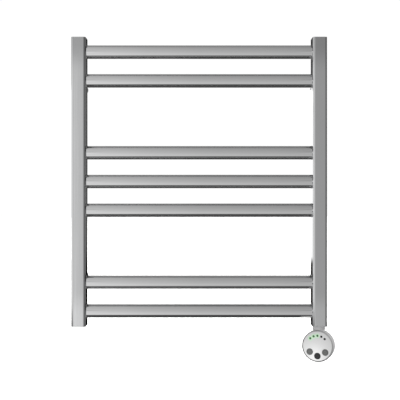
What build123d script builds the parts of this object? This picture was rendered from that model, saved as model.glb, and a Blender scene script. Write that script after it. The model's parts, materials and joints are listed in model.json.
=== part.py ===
from build123d import *
import os
from math import asin, cos, degrees, radians, sin

# Electric ladder towel rail for a bathroom wall, with a swivelling control head. Millimetres.
# +X is to the right seen from the room, +Y points into the wall and +Z is up.
# The origin is the centre of the four wall screws, on the face of the wall.

# Rack
rack_width = 530.0          # over both uprights
rack_height = 600.0         # over the end caps
wall_gap = 50.0             # wall to the back of the uprights
upright_width = 30.0
upright_depth = 40.0
upright_corner = 5.0        # outer corner radius
upright_wall = 1.5
rung_diameter = 28.0
rung_wall = 1.2
rung_insert = 3.0           # length of a rung's end inside the upright
rung_gap = 32.0             # free height between two rungs of a group
rung_edge_margin = 16.0     # from the end of the rack to the nearest rung
rungs_per_group = (2, 3, 2)  # from the top
rung_lift = 1.0             # how far the rungs as a set sit above the middle
weld_gap = 0.05             # radial room of a rung's end in its hole

# End caps and plugs
cap_plate = 2.0
cap_edge = 0.6              # rounding of the cap's outer edge
cap_fit = 0.1               # room between a cap's spigot and the tube
top_spigot = 4.0
bottom_spigot = 12.0        # long enough for the inlet thread
inlet_thread = 20.9         # half-inch pipe thread
thread_fit = 0.05           # radial room of a thread in its hole
plug_recess = 0.5           # the blank plug sits this far above the rack's lower end
plug_length = 11.0
plug_socket = 10.0          # across flats
plug_socket_depth = 6.0
plug_ring_section = 1.8
plug_ring_height = 8.0      # above the lower face of the plug

# Wall brackets: a post on the wall and a stem on the rack that slides in it
bracket_end_offset = 100.0  # from the end of the rack to the bracket's axis
post_diameter = 20.0
post_length = 36.0
post_floor = 6.0
wall_hole_diameter = 6.5
stem_diameter = 14.0
stem_clearance = 0.3        # radial
stem_flange = 3.0
stem_tip_gap = 17.0         # wall to the tip of the stem, which leaves room for a screw head
stem_thread = 8.0
stem_nut_flats = 13.0
stem_nut_height = 6.0
stem_edge = 0.5
grub_diameter = 5.0
grub_inset = 6.0            # from the mouth of the post to the grub screw's axis
grub_tip_gap = 0.35         # to the stem
grub_proud = 0.2
grub_socket = 2.5           # across flats
grub_socket_depth = 1.5

# Heating element and swivel neck under the right upright
gasket_thickness = 1.5
bush_flange_diameter = 24.0
bush_flange = 3.0
wire_bore = 7.0
sheath_diameter = 12.0
sheath_wall = 0.8
sheath_length = 380.0
sheath_socket = 8.0         # depth of the sheath's seat in the bush
core_clearance = 0.2
core_tip_gap = 6.0
collar_diameter = 26.0
collar_height = 7.1
collar_skin = 0.9
spigot_diameter = 15.0
swivel_clearance = 0.08     # radial running fit of the neck on the spigot
swivel_gap = 0.4            # between the collar and the head
swivel_ring_diameter = 18.4
swivel_ring_height = 2.3
swivel_ring_gap = 0.3       # under the neck
swivel_ring_fit = 0.02

# Control head. It is made facing -Y about the swivel axis and then turned.
head_turn = 20.0            # degrees to the left, seen from the room
head_diameter = 66.0
face_offset = 14.0          # swivel axis to the front of the bezel
head_back = 20.0            # swivel axis to the back of the casing
casing_wall = 2.5
casing_round = 15.0         # rounding of the casing's rear edge
neck_diameter = 25.0
neck_rise = 0.5             # of the neck above the top of the head
neck_boss_diameter = 18.6
neck_boss_depth = 5.0       # below the top of the neck
bezel_width = 2.5
bezel_depth = 3.0
bezel_round = 2.0
bezel_lip = 1.5
bezel_skirt = 1.5
bezel_fit = 0.1
face_recess = 0.2
face_thickness = 1.8
seal_section = 1.2
seal_fit = 0.05

# Buttons, lamps and circuit board in the head
button_diameter = 13.2
button_clearance = 0.3
button_proud = 0.7
button_round = 0.5
button_edge_margin = 12.7   # from the head's rim to a button's centre
button_pitch = 18.3         # between two button centres
button_flange = 1.2         # how far the flange stands out behind the face
button_flange_thickness = 1.0
button_flange_gap = 0.4
button_stem_diameter = 4.0
button_stem_length = 0.9
button_travel = 0.8
switch_side = 6.0
switch_height = 3.0
plunger_diameter = 3.2
plunger_height = 0.6
lamp_diameter = 4.6
lamp_fit = 0.05
lamp_proud = 0.15
lamp_round = 0.7
lamp_edge_margin = 11.2     # from the head's rim to a lamp's centre
lamp_pitch = 8.32           # between two lamp centres
lamp_count = 5
lamp_flange = 0.4
lamp_flange_thickness = 1.0
board_margin = 4.5          # from the head's rim to the board's rim
board_thickness = 1.6
board_top_gap = 0.8         # below the spigot
screw_diameter = 2.5
screw_head_diameter = 4.2
screw_head_height = 1.5
screw_length = 8.0
screw_fit = 0.1
screw_margin = 3.0          # from the board's rim to a screw's axis
side_screw_height = 2.0     # above the head's centre
post_wall = 1.8             # around each screw
relay_size = (19.0, 15.0, 15.0)
relay_centre = (0.0, 11.0)
terminal_size = (15.0, 12.0, 10.0)
terminal_centre = (0.0, -4.5)
cable_bore = 6.6
gland_thread = 11.0
gland_flats = 15.0
gland_hex = 3.0
gland_dome = 8.0
gland_round = 2.5
gland_inside = 6.0
gland_margin = 0.34         # from the gland's hexagon to the rounding of the casing
gland_nut_height = 3.0
gland_fit = 0.1

# Places worked out from the sizes above
axis_x = (rack_width - upright_width) / 2
rack_y = -(wall_gap + upright_depth / 2)
rack_bottom = -rack_height / 2
inner_face_x = axis_x - upright_width / 2
rung_pitch = rung_diameter + rung_gap
rung_end_offset = rung_edge_margin + rung_diameter / 2
bracket_z = rack_height / 2 - bracket_end_offset
tube_room = (upright_width - 2 * upright_wall, upright_depth - 2 * upright_wall)
head_radius = head_diameter / 2
gland_drop = head_radius - casing_round - gland_flats / 2 / cos(radians(30)) - gland_margin
neck_top = head_radius + neck_rise
head_z = rack_bottom - collar_height - swivel_gap - neck_top
face_front = -face_offset + face_recess
face_back = face_front + face_thickness
flange_front = face_back + button_flange_gap
stem_end = flange_front + button_flange_thickness + button_stem_length
plunger_top = stem_end + button_travel + button_clearance
board_front = plunger_top + plunger_height + switch_height
board_back = board_front + board_thickness
board_radius = head_radius - board_margin
casing_front = -face_offset + bezel_depth
bush_flange_top = rack_bottom - gasket_thickness
bush_flange_bottom = bush_flange_top - bush_flange
bush_top = rack_bottom + cap_plate + bottom_spigot
sheath_bottom = bush_top - sheath_socket
ring_top = head_z + neck_top - neck_boss_depth - swivel_ring_gap
ring_bottom = ring_top - swivel_ring_height
spigot_end = ring_bottom - 0.5
board_top = spigot_end - head_z - board_top_gap


def rod(radius, start, end, axis="Z", across=(0.0, 0.0)):
    """Cylinder along an axis from start to end; across holds its other two coordinates."""
    bar = Cylinder(radius, end - start, align=(Align.CENTER, Align.CENTER, Align.MIN))
    if axis == "X":
        return Pos(start, across[0], across[1]) * Rot(0, 90, 0) * bar
    if axis == "Y":
        return Pos(across[0], start, across[1]) * Rot(-90, 0, 0) * bar
    return Pos(across[0], across[1], start) * bar


def ring(outer, inner, start, end, axis="Z", across=(0.0, 0.0)):
    """Flat ring of two radii along an axis."""
    return rod(outer, start, end, axis, across) - rod(inner, start, end, axis, across)


def hexagon(flats, start, end, axis="Z", across=(0.0, 0.0)):
    """Six-sided bar along an axis from start to end."""
    bar = extrude(RegularPolygon(flats / 2, 6, major_radius=False), end - start)
    if axis == "Y":
        return Pos(across[0], start, across[1]) * Rot(-90, 0, 0) * bar
    return Pos(across[0], across[1], start) * bar


def block(size, low_y, centre):
    """Box of size (x, z, y) whose front is at low_y, centred on (x, z)."""
    box = Box(size[0], size[2], size[1], align=(Align.CENTER, Align.MIN, Align.CENTER))
    return Pos(centre[0], low_y, centre[1]) * box


def bar(width, depth, corner, start, end):
    """Upright bar with rounded corners, centred on Z, from start to end."""
    return Pos(0, 0, start) * extrude(RectangleRounded(width, depth, corner), end - start)


def rung_heights():
    """Heights of the rungs from the top down."""
    used = sum(count - 1 for count in rungs_per_group) * rung_pitch
    group_gap = (rack_height - 2 * rung_end_offset - used) / (len(rungs_per_group) - 1)
    heights = []
    z = rack_height / 2 - rung_end_offset + rung_lift
    for count in rungs_per_group:
        for number in range(count):
            heights.append(z - number * rung_pitch)
        z = heights[-1] - group_gap
    return heights


def bracket_places():
    """(x, z) of the four bracket axes."""
    return [(x, z) for z in (bracket_z, -bracket_z) for x in (-axis_x, axis_x)]


def on_arc(radius, pitch, count):
    """(x, z) of points spaced by a chord along an arc about the head's centre, from the left."""
    step = 2 * asin(pitch / (2 * radius))
    angles = [(number - (count - 1) / 2) * step for number in range(count)]
    return [(radius * sin(angle), radius * cos(angle)) for angle in angles]


def button_places():
    """(x, z) of the three buttons below the head's centre, from the left."""
    return [(x, -z) for x, z in on_arc(head_radius - button_edge_margin, button_pitch, 3)]


def lamp_places():
    """(x, z) of the lamps above the head's centre, from the left."""
    return on_arc(head_radius - lamp_edge_margin, lamp_pitch, lamp_count)


def screw_places():
    """(x, z) of the three board screws."""
    reach = board_radius - screw_margin
    return [(-reach, side_screw_height), (reach, side_screw_height), (0.0, -reach)]


# Rack


def upright(side):
    """Hollow upright with holes for the rungs and the bracket stems."""
    low = rack_bottom + cap_plate
    outer = bar(upright_width, upright_depth, upright_corner, low, -low)
    inner = bar(*tube_room, upright_corner - upright_wall, low, -low)
    tube = Pos(side * axis_x, rack_y, 0) * (outer - inner)
    reach = inner_face_x + rung_insert
    for z in rung_heights():
        tube -= rod(rung_diameter / 2 + weld_gap, -reach, reach, "X", (rack_y, z))
    for place in bracket_places():
        tube -= rod(stem_thread / 2 + thread_fit, -wall_gap - 2 * upright_wall, 0, "Y", place)
    return tube


def rung(z):
    """Round tube between the uprights."""
    reach = inner_face_x + rung_insert
    return ring(rung_diameter / 2, rung_diameter / 2 - rung_wall, -reach, reach, "X", (rack_y, z))


def end_cap(side, spigot, top):
    """Plate that closes an upright, with a spigot inside the tube."""
    plate = bar(upright_width, upright_depth, upright_corner, -cap_plate, 0)
    plate = fillet(plate.faces().sort_by(Axis.Z)[-1].edges(), cap_edge)
    inner = [size - 2 * cap_fit for size in tube_room]
    corner = upright_corner - upright_wall - cap_fit
    cap = plate + bar(*inner, corner, -cap_plate - spigot, -cap_plate)
    if not top:
        cap = Rot(180, 0, 0) * cap
    return Pos(side * axis_x, rack_y, rack_height / 2 if top else rack_bottom) * cap


def inlet_cap(side):
    """Lower end cap with the threaded inlet."""
    across = (side * axis_x, rack_y)
    hole = rod(inlet_thread / 2 + thread_fit, rack_bottom, bush_top, "Z", across)
    return end_cap(side, bottom_spigot, top=False) - hole


def blank_plug():
    """Plug with a hexagon socket that closes the left inlet."""
    across = (-axis_x, rack_y)
    low = rack_bottom + plug_recess
    middle = low + plug_ring_height
    plug = rod(inlet_thread / 2, low, low + plug_length, "Z", across)
    plug -= hexagon(plug_socket, low, low + plug_socket_depth, "Z", across)
    half = plug_ring_section / 2 + thread_fit
    groove = ring(inlet_thread, inlet_thread / 2 - 2 * half, middle - half, middle + half, "Z", across)
    return plug - groove


def plug_ring():
    """Sealing ring in the blank plug's groove."""
    middle = rack_bottom + plug_recess + plug_ring_height
    section = plug_ring_section / 2
    return Pos(-axis_x, rack_y, middle) * Torus(inlet_thread / 2 - section - thread_fit, section)


# Wall brackets


def wall_post(place):
    """Round post screwed to the wall, open to the rack and drilled for its grub screw."""
    post = rod(post_diameter / 2, -post_length, 0, "Y", place)
    mouth = post.faces().sort_by(Axis.Y)[0].edges()
    post = fillet(mouth, stem_edge)
    post -= rod(stem_diameter / 2 + stem_clearance, -post_length, -post_floor, "Y", place)
    post -= rod(wall_hole_diameter / 2, -post_length, 0, "Y", place)
    across = (place[0], grub_inset - post_length)
    return post - rod(grub_diameter / 2 + thread_fit, place[1] - post_diameter, place[1], "Z", across)


def grub_screw(place):
    """Set screw that holds the stem in its post, driven from below."""
    across = (place[0], grub_inset - post_length)
    low = place[1] - post_diameter / 2 - grub_proud
    tip = place[1] - stem_diameter / 2 - grub_tip_gap
    screw = rod(grub_diameter / 2, low, tip, "Z", across)
    return screw - hexagon(grub_socket, low, low + grub_socket_depth, "Z", across)


def bracket_stem(place):
    """Stem that slides in the post, with a flange and a thread into the upright."""
    flange_end = -wall_gap + stem_flange
    flange = rod(post_diameter / 2, -wall_gap, flange_end, "Y", place)
    flange = fillet(flange.faces().sort_by(Axis.Y)[-1].edges(), stem_edge)
    stem = rod(stem_diameter / 2, flange_end, -stem_tip_gap, "Y", place)
    stem = chamfer(stem.faces().sort_by(Axis.Y)[-1].edges(), stem_edge)
    thread_end = -wall_gap - upright_wall - stem_nut_height
    return flange + stem + rod(stem_thread / 2, thread_end, -wall_gap, "Y", place)


def stem_nut(place):
    """Nut welded inside the upright for the stem's thread."""
    seat = -wall_gap - upright_wall
    nut = hexagon(stem_nut_flats, seat - stem_nut_height, seat, "Y", place)
    return nut - rod(stem_thread / 2 + thread_fit, seat - stem_nut_height, seat, "Y", place)


# Heating element and neck


def at_neck(part):
    """Moves a part made about the Z axis to the right upright's axis."""
    return Pos(axis_x, rack_y, 0) * part


def bush_gasket():
    """Flat gasket between the end cap and the bush."""
    outer = bush_flange_diameter / 2
    return at_neck(ring(outer, inlet_thread / 2 + thread_fit, bush_flange_top, rack_bottom))


def element_bush():
    """Bush that carries the element above and the head's swivel below."""
    bush = rod(inlet_thread / 2, bush_flange_top, bush_top)
    bush += rod(bush_flange_diameter / 2, bush_flange_bottom, bush_flange_top)
    bush += rod(spigot_diameter / 2, spigot_end, bush_flange_bottom)
    bush -= rod(sheath_diameter / 2 + thread_fit, sheath_bottom, bush_top)
    return at_neck(bush - rod(wire_bore / 2, spigot_end, sheath_bottom))


def element_sheath():
    """Steel tube with a round closed tip, inside the right upright."""
    outer = sheath_diameter / 2
    inner = outer - sheath_wall
    shoulder = sheath_bottom + sheath_length - outer
    sheath = rod(outer, sheath_bottom, shoulder) + Pos(0, 0, shoulder) * Sphere(outer)
    hollow = rod(inner, sheath_bottom, shoulder) + Pos(0, 0, shoulder) * Sphere(inner)
    return at_neck(sheath - hollow)


def element_core():
    """Ceramic heating core in the sheath, standing on the bush."""
    top = sheath_bottom + sheath_length - sheath_diameter / 2 - core_tip_gap
    return at_neck(rod(sheath_diameter / 2 - sheath_wall - core_clearance, sheath_bottom, top))


def neck_collar():
    """Cover ring around the bush, just below the upright."""
    outer = collar_diameter / 2
    low = rack_bottom - collar_height
    collar = ring(outer, outer - collar_skin, low, rack_bottom)
    collar += ring(outer, spigot_diameter / 2 + thread_fit, low, low + collar_skin)
    return at_neck(collar)


def swivel_ring():
    """Ring pressed on the spigot that holds the head up."""
    inner = spigot_diameter / 2 + swivel_ring_fit
    return at_neck(ring(swivel_ring_diameter / 2, inner, ring_bottom, ring_top))


# Control head, made about the swivel axis with its centre at the origin


def drum(radius, front, back, rounding):
    """Short drum along Y whose rear edge is rounded."""
    body = rod(radius, front, back, "Y")
    return fillet(body.faces().sort_by(Axis.Y)[-1].edges(), rounding)


def head_casing():
    """Rear casing with the swivel neck, the board's posts and the gland's hole."""
    inner_radius = head_radius - casing_wall
    inner_back = head_back - casing_wall
    outer = drum(head_radius, casing_front, head_back, casing_round)
    cavity = drum(inner_radius, casing_front, inner_back, casing_round - casing_wall)
    behind = block((head_diameter, 2 * neck_top, head_diameter), casing_front, (0.0, 0.0))
    neck = rod(neck_diameter / 2, 0, neck_top) & behind
    boss_low = neck_top - neck_boss_depth
    casing = outer + neck - cavity + rod(neck_boss_diameter / 2, boss_low, neck_top)
    for place in screw_places():
        post = rod(screw_diameter / 2 + post_wall, board_back, head_back, "Y", place)
        casing += post & outer
        casing -= rod(screw_diameter / 2, board_back, board_back + screw_length, "Y", place)
    casing -= rod(spigot_diameter / 2 + swivel_clearance, boss_low, neck_top)
    casing -= rod(gland_thread / 2 + gland_fit, inner_back, head_back, "Y", (0, -gland_drop))
    middle = head_radius - casing_wall / 2
    half = seal_section / 2 + seal_fit
    return casing - ring(middle + half, middle - half, casing_front, casing_front + 2 * half, "Y")


def head_seal():
    """Sealing ring between the casing and the bezel."""
    section = seal_section / 2
    middle = head_radius - casing_wall / 2
    return Pos(0, casing_front + section + seal_fit, 0) * Rot(90, 0, 0) * Torus(middle, section)


def head_bezel():
    """Bright ring around the face, with a skirt inside the casing."""
    front = -face_offset
    opening = head_radius - bezel_width
    bezel = rod(head_radius, front, casing_front, "Y")
    bezel = fillet(bezel.faces().sort_by(Axis.Y)[0].edges(), bezel_round)
    skirt = head_radius - casing_wall - bezel_fit
    bezel += rod(skirt, casing_front, casing_front + bezel_skirt, "Y")
    bezel -= rod(opening, front, face_back, "Y")
    return bezel - rod(opening - bezel_lip, face_back, casing_front + bezel_skirt, "Y")


def head_face():
    """Round face plate with holes for the buttons and lamps."""
    face = rod(head_radius - bezel_width - thread_fit, face_front, face_back, "Y")
    for place in button_places():
        face -= rod(button_diameter / 2 + button_clearance, face_front, face_back, "Y", place)
    for place in lamp_places():
        face -= rod(lamp_diameter / 2 + lamp_fit, face_front, face_back, "Y", place)
    return face


def button(place):
    """Push button with a flange behind the face and a stem for its switch."""
    cap = rod(button_diameter / 2, face_front - button_proud, flange_front, "Y", place)
    cap = fillet(cap.faces().sort_by(Axis.Y)[0].edges(), button_round)
    flange_back = flange_front + button_flange_thickness
    cap += rod(button_diameter / 2 + button_flange, flange_front, flange_back, "Y", place)
    return cap + rod(button_stem_diameter / 2, flange_back, stem_end, "Y", place)


def switch(place):
    """Board switch with its plunger behind a button."""
    body = block((switch_side, switch_side, switch_height), board_front - switch_height, place)
    return body + rod(plunger_diameter / 2, plunger_top, board_front - switch_height, "Y", place)


def lamp(place):
    """Indicator lamp that stands on the board and shows in the face."""
    body = rod(lamp_diameter / 2, face_front - lamp_proud, board_front, "Y", place)
    body = fillet(body.faces().sort_by(Axis.Y)[0].edges(), lamp_round)
    radius = lamp_diameter / 2 + lamp_flange
    return body + rod(radius, face_back, face_back + lamp_flange_thickness, "Y", place)


def circuit_board():
    """Round board, cut off flat below the swivel."""
    board = rod(board_radius, board_front, board_back, "Y")
    for place in screw_places():
        board -= rod(screw_diameter / 2 + screw_fit, board_front, board_back, "Y", place)
    size = (head_diameter, head_diameter, board_thickness)
    return board - block(size, board_front, (0.0, board_top + head_radius))


def board_screw(place):
    """Screw with a round head through the board into the casing."""
    head = rod(screw_head_diameter / 2, board_front - screw_head_height, board_front, "Y", place)
    head = fillet(head.faces().sort_by(Axis.Y)[0].edges(), screw_head_height / 2)
    shank = screw_diameter / 2 - screw_fit
    return head + rod(shank, board_front, board_back + screw_length - screw_fit, "Y", place)


def cable_gland():
    """Gland behind the head, bored for the supply cable."""
    place = (0.0, -gland_drop)
    hex_end = head_back + gland_hex
    gland = hexagon(gland_flats, head_back, hex_end, "Y", place)
    dome = rod(gland_flats / 2 - cap_edge, hex_end, hex_end + gland_dome, "Y", place)
    gland += fillet(dome.faces().sort_by(Axis.Y)[-1].edges(), gland_round)
    gland += rod(gland_thread / 2, head_back - gland_inside, head_back, "Y", place)
    return gland - rod(cable_bore / 2, head_back - gland_inside, hex_end + gland_dome, "Y", place)


def gland_nut():
    """Lock nut on the gland inside the casing."""
    back = head_back - casing_wall
    place = (0.0, -gland_drop)
    nut = hexagon(gland_flats, back - gland_nut_height, back, "Y", place)
    return nut - rod(gland_thread / 2 + gland_fit, back - gland_nut_height, back, "Y", place)


def head_parts():
    """Every part of the head by name, before it is turned and moved."""
    parts = {
        "head_casing": head_casing(),
        "head_seal": head_seal(),
        "head_bezel": head_bezel(),
        "head_face": head_face(),
        "circuit_board": circuit_board(),
        "relay": block(relay_size, board_back, relay_centre),
        "terminal_block": block(terminal_size, board_back, terminal_centre),
        "cable_gland": cable_gland(),
        "gland_nut": gland_nut(),
    }
    for name, place in zip(("left", "centre", "right"), button_places()):
        parts[f"button_{name}"] = button(place)
        parts[f"switch_{name}"] = switch(place)
    for number, place in enumerate(lamp_places(), 1):
        parts[f"lamp_{number}"] = lamp(place)
    for number, place in enumerate(screw_places(), 1):
        parts[f"board_screw_{number}"] = board_screw(place)
    return parts


def all_parts():
    """Every part of the towel rail by name, in place."""
    parts = {}
    for name, side in (("left", -1), ("right", 1)):
        parts[f"upright_{name}"] = upright(side)
        parts[f"top_cap_{name}"] = end_cap(side, top_spigot, top=True)
        parts[f"bottom_cap_{name}"] = inlet_cap(side)
    for number, z in enumerate(rung_heights(), 1):
        parts[f"rung_{number}"] = rung(z)
    parts["blank_plug"] = blank_plug()
    parts["plug_ring"] = plug_ring()
    for number, place in enumerate(bracket_places(), 1):
        parts[f"wall_post_{number}"] = wall_post(place)
        parts[f"grub_screw_{number}"] = grub_screw(place)
        parts[f"bracket_stem_{number}"] = bracket_stem(place)
        parts[f"stem_nut_{number}"] = stem_nut(place)
    parts["bush_gasket"] = bush_gasket()
    parts["element_bush"] = element_bush()
    parts["element_sheath"] = element_sheath()
    parts["element_core"] = element_core()
    parts["neck_collar"] = neck_collar()
    parts["swivel_ring"] = swivel_ring()
    turned = Pos(axis_x, rack_y, head_z) * Rot(0, 0, -head_turn)
    for name, part in head_parts().items():
        parts[name] = turned * part
    return parts


os.makedirs("parts", exist_ok=True)
for node, part in all_parts().items():
    export_step(part, f"parts/{node}.step")
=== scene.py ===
"""Looks of the electric ladder towel rail: finishes, fine pieces, studio light and camera.

Everything is in metres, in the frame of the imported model: +X to the right seen from the room,
+Y into the wall and +Z up, with the origin between the four wall screws.
"""

from __future__ import annotations

import json
import logging
import math
from dataclasses import asdict, dataclass, field, replace
from enum import Enum
from typing import Callable, Iterable, Sequence

import bmesh
import bpy
from mathutils import Matrix, Vector

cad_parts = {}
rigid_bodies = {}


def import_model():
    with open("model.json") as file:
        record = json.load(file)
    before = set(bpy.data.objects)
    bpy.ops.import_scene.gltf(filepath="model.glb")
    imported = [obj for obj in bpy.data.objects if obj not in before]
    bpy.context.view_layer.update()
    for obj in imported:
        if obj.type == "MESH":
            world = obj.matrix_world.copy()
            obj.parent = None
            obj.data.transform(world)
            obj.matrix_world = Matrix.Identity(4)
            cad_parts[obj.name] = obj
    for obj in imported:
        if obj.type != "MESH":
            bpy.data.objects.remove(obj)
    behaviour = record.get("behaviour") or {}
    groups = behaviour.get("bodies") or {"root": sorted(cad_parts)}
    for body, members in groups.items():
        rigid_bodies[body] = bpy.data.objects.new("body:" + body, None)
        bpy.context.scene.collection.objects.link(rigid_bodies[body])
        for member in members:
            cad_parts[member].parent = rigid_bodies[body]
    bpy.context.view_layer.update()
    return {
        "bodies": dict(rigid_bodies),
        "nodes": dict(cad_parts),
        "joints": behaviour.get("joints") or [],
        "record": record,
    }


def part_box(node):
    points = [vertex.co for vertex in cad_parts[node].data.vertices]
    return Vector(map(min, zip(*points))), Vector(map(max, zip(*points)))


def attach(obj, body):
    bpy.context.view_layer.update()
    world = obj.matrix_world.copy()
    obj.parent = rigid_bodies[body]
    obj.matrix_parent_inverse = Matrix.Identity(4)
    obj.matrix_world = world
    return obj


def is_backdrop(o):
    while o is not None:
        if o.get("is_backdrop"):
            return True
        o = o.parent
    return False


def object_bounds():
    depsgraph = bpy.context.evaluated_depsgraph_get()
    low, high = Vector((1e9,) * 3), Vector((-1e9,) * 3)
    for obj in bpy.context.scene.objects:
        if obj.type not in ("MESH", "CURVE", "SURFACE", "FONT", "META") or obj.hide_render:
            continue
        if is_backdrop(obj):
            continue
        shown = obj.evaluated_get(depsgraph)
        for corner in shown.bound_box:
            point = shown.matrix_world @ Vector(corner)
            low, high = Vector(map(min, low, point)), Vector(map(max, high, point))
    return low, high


LOG = logging.getLogger("towel_rail")
MM = 0.001

Colour = tuple[float, float, float]
Place = tuple[float, float, float]
Stops = tuple[tuple[float, float], ...]
Step = tuple[float, float, float, float]
Stroke = tuple[list[list[Vector]], bool]


class Body(Enum):
    """Bodies of the frame that the added pieces ride on."""

    RACK = "rack"
    HEAD = "head"
    LEFT = "left_button"
    CENTRE = "centre_button"
    RIGHT = "right_button"


class Slot(Enum):
    """Material slots of the record."""

    CHROME_TUBE = "chrome_tube"
    CHROME_TRIM = "chrome_trim"
    PLAIN_STEEL = "plain_steel"
    PLATED_PLUG = "plated_plug"
    BRASS = "brass_bush"
    RUBBER = "black_rubber"
    CERAMIC = "white_ceramic"
    SILVER = "silver_plastic"
    BUTTON_GREY = "button_grey"
    BUTTON_BLACK = "button_black"
    LAMP_GREEN = "lamp_green"
    LAMP_DARK = "lamp_dark"
    BOARD = "board_green"
    PART_BLACK = "part_black"
    PART_GREY = "part_grey"
    GLAND = "gland_black"


# --- Shader tools ---------------------------------------------------------------------------


class Sheet:
    """Adds and joins the nodes of one shader tree."""

    def __init__(self, tree: bpy.types.NodeTree) -> None:
        """Starts on an empty tree.

        Args:
            tree: The node tree to fill.
        """
        self.tree = tree
        self.tree.nodes.clear()

    def add(self, kind: str, **settings: object) -> bpy.types.Node:
        """Makes a node and sets its plain settings.

        Args:
            kind: Blender's name of the node type.
            **settings: Attributes of the node, such as operation.

        Returns:
            The new node.
        """
        node = self.tree.nodes.new(kind)
        for name, value in settings.items():
            setattr(node, name, value)
        return node

    def feed(self, node: bpy.types.Node, **sources: object) -> bpy.types.Node:
        """Gives a node's inputs a link or a plain value.

        Args:
            node: The node to feed.
            **sources: Input names, with _ for a space, and an output socket or a value for each.

        Returns:
            The same node.
        """
        for name, source in sources.items():
            self.put(node.inputs[name.replace("_", " ")], source)
        return node

    def put(self, socket: bpy.types.NodeSocket, source: object) -> None:
        """Links an output to an input socket, or sets the input's own value.

        Args:
            socket: The input socket.
            source: An output socket or a value.
        """
        if isinstance(source, bpy.types.NodeSocket):
            self.tree.links.new(source, socket)
        else:
            socket.default_value = source

    def math(self, operation: str, *values: object, clamp: bool = False) -> bpy.types.NodeSocket:
        """Adds a Math node and returns its output.

        Args:
            operation: Blender's name of the operation.
            *values: A value or an output for each input.
            clamp: Whether the result is kept between 0 and 1.

        Returns:
            The result.
        """
        node = self.add("ShaderNodeMath", operation=operation, use_clamp=clamp)
        for socket, value in zip(node.inputs, values):
            self.put(socket, value)
        return node.outputs[0]

    def span(self, value: object, low: float, high: float, to_low: float, to_high: float,
             smooth: bool = False) -> bpy.types.NodeSocket:
        """Maps a value from one range to another.

        Args:
            value: The value or output to map.
            low: Start of the incoming range.
            high: End of the incoming range.
            to_low: Result at low.
            to_high: Result at high.
            smooth: Whether the step is eased at both ends.

        Returns:
            The mapped output.
        """
        node = self.add("ShaderNodeMapRange", interpolation_type="SMOOTHSTEP" if smooth else "LINEAR")
        self.feed(node, Value=value, From_Min=low, From_Max=high, To_Min=to_low, To_Max=to_high)
        return node.outputs["Result"]

    def mix(self, share: object, one: object, other: object, blend: str = "MIX") -> bpy.types.NodeSocket:
        """Mixes two colours and returns the result.

        Args:
            share: Share of the other, from 0 to 1.
            one: What a share of 0 gives.
            other: What a share of 1 gives.
            blend: Blender's name of the blend.

        Returns:
            The mixed colour.
        """
        node = self.add("ShaderNodeMix", data_type="RGBA", blend_type=blend)
        for index, value in ((0, share), (6, one), (7, other)):
            self.put(node.inputs[index], value)
        return node.outputs[2]

    def noise(self, vector: object, scale: float, detail: float = 2.0) -> bpy.types.NodeSocket:
        """Adds a noise texture and returns its value.

        Args:
            vector: Coordinates.
            scale: Scale of the pattern.
            detail: Number of finer layers.

        Returns:
            The texture's value.
        """
        node = self.add("ShaderNodeTexNoise")
        self.feed(node, Vector=vector, Scale=scale, Detail=detail, Roughness=0.5)
        return node.outputs["Fac"]

    def stretch(self, vector: object, scale: Sequence[float]) -> bpy.types.NodeSocket:
        """Scales a coordinate along each axis.

        Args:
            vector: Coordinates.
            scale: Factor along each axis.

        Returns:
            The scaled coordinates.
        """
        node = self.add("ShaderNodeMapping")
        self.feed(node, Vector=vector, Scale=tuple(scale))
        return node.outputs["Vector"]

    def group(self, tree: bpy.types.NodeTree, **sources: object) -> bpy.types.Node:
        """Places a node group and feeds it."""
        node = self.add("ShaderNodeGroup", node_tree=tree)
        return self.feed(node, **sources)


@dataclass(frozen=True)
class Port:
    """One named socket of a node group."""

    name: str
    kind: str = "NodeSocketFloat"
    value: float | None = None


class Effect:
    """A shader node group that several finishes share, built once."""

    title = "effect"
    inputs: tuple[Port, ...] = ()
    outputs: tuple[Port, ...] = ()

    @classmethod
    def tree(cls) -> bpy.types.NodeTree:
        """Returns the group, and builds it the first time.

        Returns:
            The group's node tree.
        """
        found = bpy.data.node_groups.get(cls.title)
        if found:
            return found
        made = bpy.data.node_groups.new(cls.title, "ShaderNodeTree")
        for ports, side in ((cls.inputs, "INPUT"), (cls.outputs, "OUTPUT")):
            for port in ports:
                socket = made.interface.new_socket(port.name, in_out=side, socket_type=port.kind)
                if port.value is not None:
                    socket.default_value = port.value
        sheet = Sheet(made)
        start = sheet.add("NodeGroupInput")
        end = sheet.add("NodeGroupOutput")
        cls.draw(sheet, start, end)
        return made

    @classmethod
    def draw(cls, sheet: Sheet, start: bpy.types.Node, end: bpy.types.Node) -> None:
        """Fills the group between its input and output nodes."""
        raise NotImplementedError


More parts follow.
